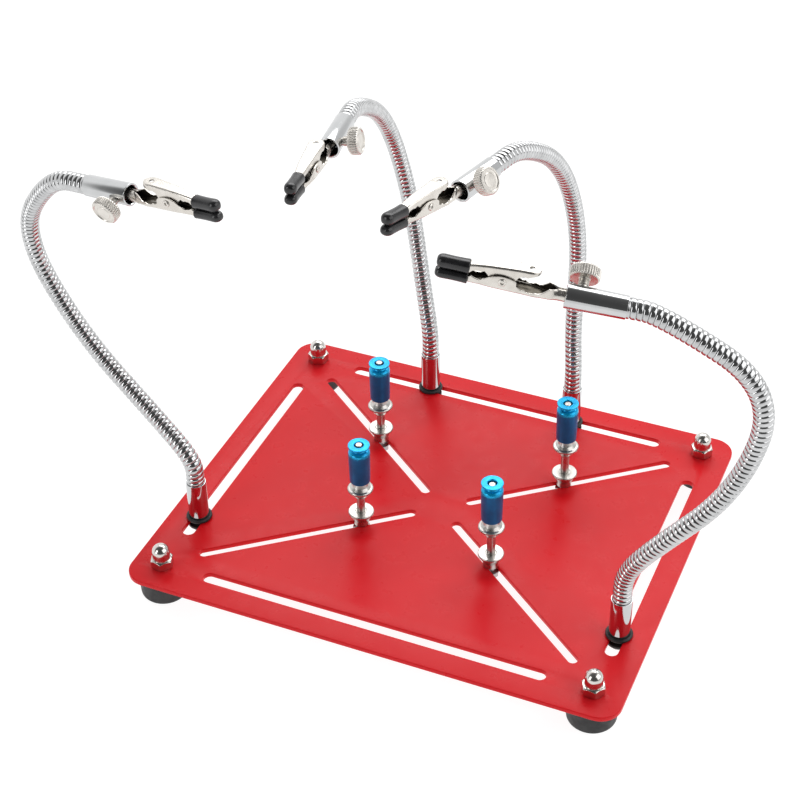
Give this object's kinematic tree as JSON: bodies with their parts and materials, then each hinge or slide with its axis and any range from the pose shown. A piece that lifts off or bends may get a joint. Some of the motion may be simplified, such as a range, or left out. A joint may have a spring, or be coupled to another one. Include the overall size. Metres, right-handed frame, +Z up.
{
  "type": "pcb holder vise",
  "caption": "Slotted red base plate on rubber feet with sliding board pillars and flexible coiled-metal arms, each ending in a rotating alligator clip with sleeved jaws.",
  "frame": {"origin": "centre of the base plate, on the bench top under the feet", "axes": "+X to the right along the plate's long side, +Y to the back, +Z up; front is the side without arms on its slot"},
  "size_m": [0.2933, 0.1739, 0.1795],
  "materials": {
    "red_plate": "satin",
    "black_rubber": "matte",
    "nickel": "polished",
    "plated_steel": "satin",
    "chromed": "polished",
    "nickel_sheet": "bright",
    "black_vinyl": "gloss",
    "turned_metal": "polished",
    "blue_sleeve": "anodised"
  },
  "bodies": {
    "base": {"base_plate": "red_plate", "rubber_feet": "black_rubber", "foot_screws": "plated_steel", "cap_nuts": "nickel"},
    "front_left_carriage": {"front_left_grommet": "black_rubber", "front_left_clamp_screw": "plated_steel"},
    "front_left_arm_lower": {"front_left_ferrule": "chromed", "front_left_hose_lower": "chromed"},
    "front_left_arm_upper": {"front_left_hose_upper": "chromed", "front_left_collar": "chromed"},
    "front_left_screw": {"front_left_thumb_screw": "nickel"},
    "front_left_clip": {"front_left_clip_lower_jaw": "nickel_sheet", "front_left_lower_tip_sleeve": "black_vinyl"},
    "front_left_jaw": {"front_left_clip_upper_jaw": "nickel_sheet", "front_left_upper_tip_sleeve": "black_vinyl"},
    "back_left_carriage": {"back_left_grommet": "black_rubber", "back_left_clamp_screw": "plated_steel"},
    "back_left_arm_lower": {"back_left_ferrule": "chromed", "back_left_hose_lower": "chromed"},
    "back_left_arm_upper": {"back_left_hose_upper": "chromed", "back_left_collar": "chromed"},
    "back_left_screw": {"back_left_thumb_screw": "nickel"},
    "back_left_clip": {"back_left_clip_lower_jaw": "nickel_sheet", "back_left_lower_tip_sleeve": "black_vinyl"},
    "back_left_jaw": {"back_left_clip_upper_jaw": "nickel_sheet", "back_left_upper_tip_sleeve": "black_vinyl"},
    "back_right_carriage": {"back_right_grommet": "black_rubber", "back_right_clamp_screw": "plated_steel"},
    "back_right_arm_lower": {"back_right_ferrule": "chromed", "back_right_hose_lower": "chromed"},
    "back_right_arm_upper": {"back_right_hose_upper": "chromed", "back_right_collar": "chromed"},
    "back_right_screw": {"back_right_thumb_screw": "nickel"},
    "back_right_clip": {"back_right_clip_lower_jaw": "nickel_sheet", "back_right_lower_tip_sleeve": "black_vinyl"},
    "back_right_jaw": {"back_right_clip_upper_jaw": "nickel_sheet", "back_right_upper_tip_sleeve": "black_vinyl"},
    "front_right_carriage": {"front_right_grommet": "black_rubber", "front_right_clamp_screw": "plated_steel"},
    "front_right_arm_lower": {"front_right_ferrule": "chromed", "front_right_hose_lower": "chromed"},
    "front_right_arm_upper": {"front_right_hose_upper": "chromed", "front_right_collar": "chromed"},
    "front_right_screw": {"front_right_thumb_screw": "nickel"},
    "front_right_clip": {"front_right_clip_lower_jaw": "nickel_sheet", "front_right_lower_tip_sleeve": "black_vinyl"},
    "front_right_jaw": {"front_right_clip_upper_jaw": "nickel_sheet", "front_right_upper_tip_sleeve": "black_vinyl"},
    "front_left_post": {"front_left_pillar_post": "turned_metal"},
    "front_left_grip": {"front_left_grip_flange": "turned_metal", "front_left_grip_sleeve": "blue_sleeve"},
    "back_left_post": {"back_left_pillar_post": "turned_metal"},
    "back_left_grip": {"back_left_grip_flange": "turned_metal", "back_left_grip_sleeve": "blue_sleeve"},
    "back_right_post": {"back_right_pillar_post": "turned_metal"},
    "back_right_grip": {"back_right_grip_flange": "turned_metal", "back_right_grip_sleeve": "blue_sleeve"},
    "front_right_post": {"front_right_pillar_post": "turned_metal"},
    "front_right_grip": {"front_right_grip_flange": "turned_metal", "front_right_grip_sleeve": "blue_sleeve"}
  },
  "joints": [
    {"name": "front_left_carriage_slide", "type": "slide", "parent": "base", "child": "front_left_carriage", "axis": [0, 1, 0], "range_m": [-0.009, 0.05]},
    {"name": "front_left_arm_swivel", "type": "hinge", "parent": "front_left_carriage", "child": "front_left_arm_lower", "pos_m": [-0.088, -0.0413, 0.02], "axis": [0, 0, 1], "range_deg": [-75, 45]},
    {"name": "front_left_arm_bend", "type": "hinge", "parent": "front_left_arm_lower", "child": "front_left_arm_upper", "pos_m": [-0.15096, -0.0296, 0.10425], "axis": [-0.2996, -0.9541, 0], "range_deg": [-30, 30]},
    {"name": "front_left_clip_roll", "type": "hinge", "parent": "front_left_arm_upper", "child": "front_left_clip", "pos_m": [-0.0981, -0.0462, 0.1642], "axis": [0.9611, -0.226, 0.159], "range_deg": [-90, 90]},
    {"name": "front_left_jaw_hinge", "type": "hinge", "parent": "front_left_clip", "child": "front_left_jaw", "pos_m": [-0.07858, -0.05079, 0.16925], "axis": [-0.2289, -0.9734, 0], "range_deg": [0, 18], "stiffness_Nm_per_rad": 0.05},
    {"name": "back_left_carriage_slide", "type": "slide", "parent": "base", "child": "back_left_carriage", "axis": [1, 0, 0], "range_m": [-0.034, 0.01]},
    {"name": "back_left_arm_swivel", "type": "hinge", "parent": "back_left_carriage", "child": "back_left_arm_lower", "pos_m": [-0.0336, 0.0716, 0.02], "axis": [0, 0, 1], "range_deg": [-35, 11]},
    {"name": "back_left_arm_bend", "type": "hinge", "parent": "back_left_arm_lower", "child": "back_left_arm_upper", "pos_m": [-0.05245, 0.08335, 0.1206], "axis": [-0.9949, -0.1008, 0], "range_deg": [-30, 30]},
    {"name": "back_left_clip_roll", "type": "hinge", "parent": "back_left_arm_upper", "child": "back_left_clip", "pos_m": [-0.04596, 0.00479, 0.16655], "axis": [0.121, -0.9892, 0.083], "range_deg": [-90, 90]},
    {"name": "back_left_jaw_hinge", "type": "hinge", "parent": "back_left_clip", "child": "back_left_jaw", "pos_m": [-0.04349, -0.01544, 0.17005], "axis": [-0.9926, -0.1214, 0], "range_deg": [0, 18], "stiffness_Nm_per_rad": 0.05},
    {"name": "back_right_carriage_slide", "type": "slide", "parent": "base", "child": "back_right_carriage", "axis": [1, 0, 0], "range_m": [-0.011, 0.034]},
    {"name": "back_right_arm_swivel", "type": "hinge", "parent": "back_right_carriage", "child": "back_right_arm_lower", "pos_m": [0.0308, 0.0716, 0.02], "axis": [0, 0, 1], "range_deg": [-11, 14]},
    {"name": "back_right_arm_bend", "type": "hinge", "parent": "back_right_arm_lower", "child": "back_right_arm_upper", "pos_m": [0.02601, 0.07208, 0.12401], "axis": [-0.9792, 0.2029, 0], "range_deg": [-30, 30]},
    {"name": "back_right_clip_roll", "type": "hinge", "parent": "back_right_arm_upper", "child": "back_right_clip", "pos_m": [0.00932, -0.00595, 0.16735], "axis": [-0.2535, -0.9586, 0.13], "range_deg": [-90, 90]},
    {"name": "back_right_jaw_hinge", "type": "hinge", "parent": "back_right_clip", "child": "back_right_jaw", "pos_m": [0.00416, -0.02547, 0.17181], "axis": [-0.9668, 0.2557, 0], "range_deg": [0, 18], "stiffness_Nm_per_rad": 0.05},
    {"name": "front_right_carriage_slide", "type": "slide", "parent": "base", "child": "front_right_carriage", "axis": [0, 1, 0], "range_m": [-0.009, 0.045]},
    {"name": "front_right_arm_swivel", "type": "hinge", "parent": "front_right_carriage", "child": "front_right_arm_lower", "pos_m": [0.088, -0.0413, 0.02], "axis": [0, 0, 1], "range_deg": [-40, 75]},
    {"name": "front_right_arm_bend", "type": "hinge", "parent": "front_right_arm_lower", "child": "front_right_arm_upper", "pos_m": [0.12905, -0.04035, 0.1166], "axis": [-0.1888, 0.982, 0], "range_deg": [-30, 30]},
    {"name": "front_right_clip_roll", "type": "hinge", "parent": "front_right_arm_upper", "child": "front_right_clip", "pos_m": [0.0643, -0.0528, 0.1672], "axis": [-0.9545, -0.2449, 0.1699], "range_deg": [-90, 90]},
    {"name": "front_right_jaw_hinge", "type": "hinge", "parent": "front_right_clip", "child": "front_right_jaw", "pos_m": [0.04493, -0.05777, 0.17247], "axis": [-0.2485, 0.9686, 0], "range_deg": [0, 18], "stiffness_Nm_per_rad": 0.05},
    {"name": "front_left_pillar_slide", "type": "slide", "parent": "base", "child": "front_left_post", "axis": [-0.7864, -0.6177, 0], "range_m": [-0.0205, 0.0637]},
    {"name": "front_left_grip_slide", "type": "slide", "parent": "front_left_post", "child": "front_left_grip", "axis": [0, 0, 1], "range_m": [-0.0072, 0.01]},
    {"name": "back_left_pillar_slide", "type": "slide", "parent": "base", "child": "back_left_post", "axis": [-0.7864, 0.6177, 0], "range_m": [-0.038, 0.0462]},
    {"name": "back_left_grip_slide", "type": "slide", "parent": "back_left_post", "child": "back_left_grip", "axis": [0, 0, 1], "range_m": [-0.0071, 0.01]},
    {"name": "back_right_pillar_slide", "type": "slide", "parent": "base", "child": "back_right_post", "axis": [0.7864, 0.6177, 0], "range_m": [-0.0399, 0.0443]},
    {"name": "back_right_grip_slide", "type": "slide", "parent": "back_right_post", "child": "back_right_grip", "axis": [0, 0, 1], "range_m": [-0.009, 0.01]},
    {"name": "front_right_pillar_slide", "type": "slide", "parent": "base", "child": "front_right_post", "axis": [0.7864, -0.6177, 0], "range_m": [-0.0264, 0.0578]},
    {"name": "front_right_grip_slide", "type": "slide", "parent": "front_right_post", "child": "front_right_grip", "axis": [0, 0, 1], "range_m": [-0.009, 0.01]},
    {"name": "front_left_thumb_screw_turn", "type": "hinge", "parent": "front_left_arm_upper", "child": "front_left_screw", "pos_m": [-0.10298, -0.04531, 0.16356], "axis": [-0.135, -0.9475, -0.29], "continuous": true},
    {"name": "back_left_thumb_screw_turn", "type": "hinge", "parent": "back_left_arm_upper", "child": "back_left_screw", "pos_m": [-0.04601, 0.00985, 0.16637], "axis": [0.9747, 0.1407, 0.1736], "continuous": true},
    {"name": "back_right_thumb_screw_turn", "type": "hinge", "parent": "back_right_arm_upper", "child": "back_right_screw", "pos_m": [0.01097, -0.00121, 0.16691], "axis": [0.8401, -0.2102, 0.5], "continuous": true},
    {"name": "front_right_thumb_screw_turn", "type": "hinge", "parent": "front_right_arm_upper", "child": "front_right_screw", "pos_m": [0.06909, -0.05157, 0.16644], "axis": [-0.1505, 0.873, 0.464], "continuous": true}
  ]
}
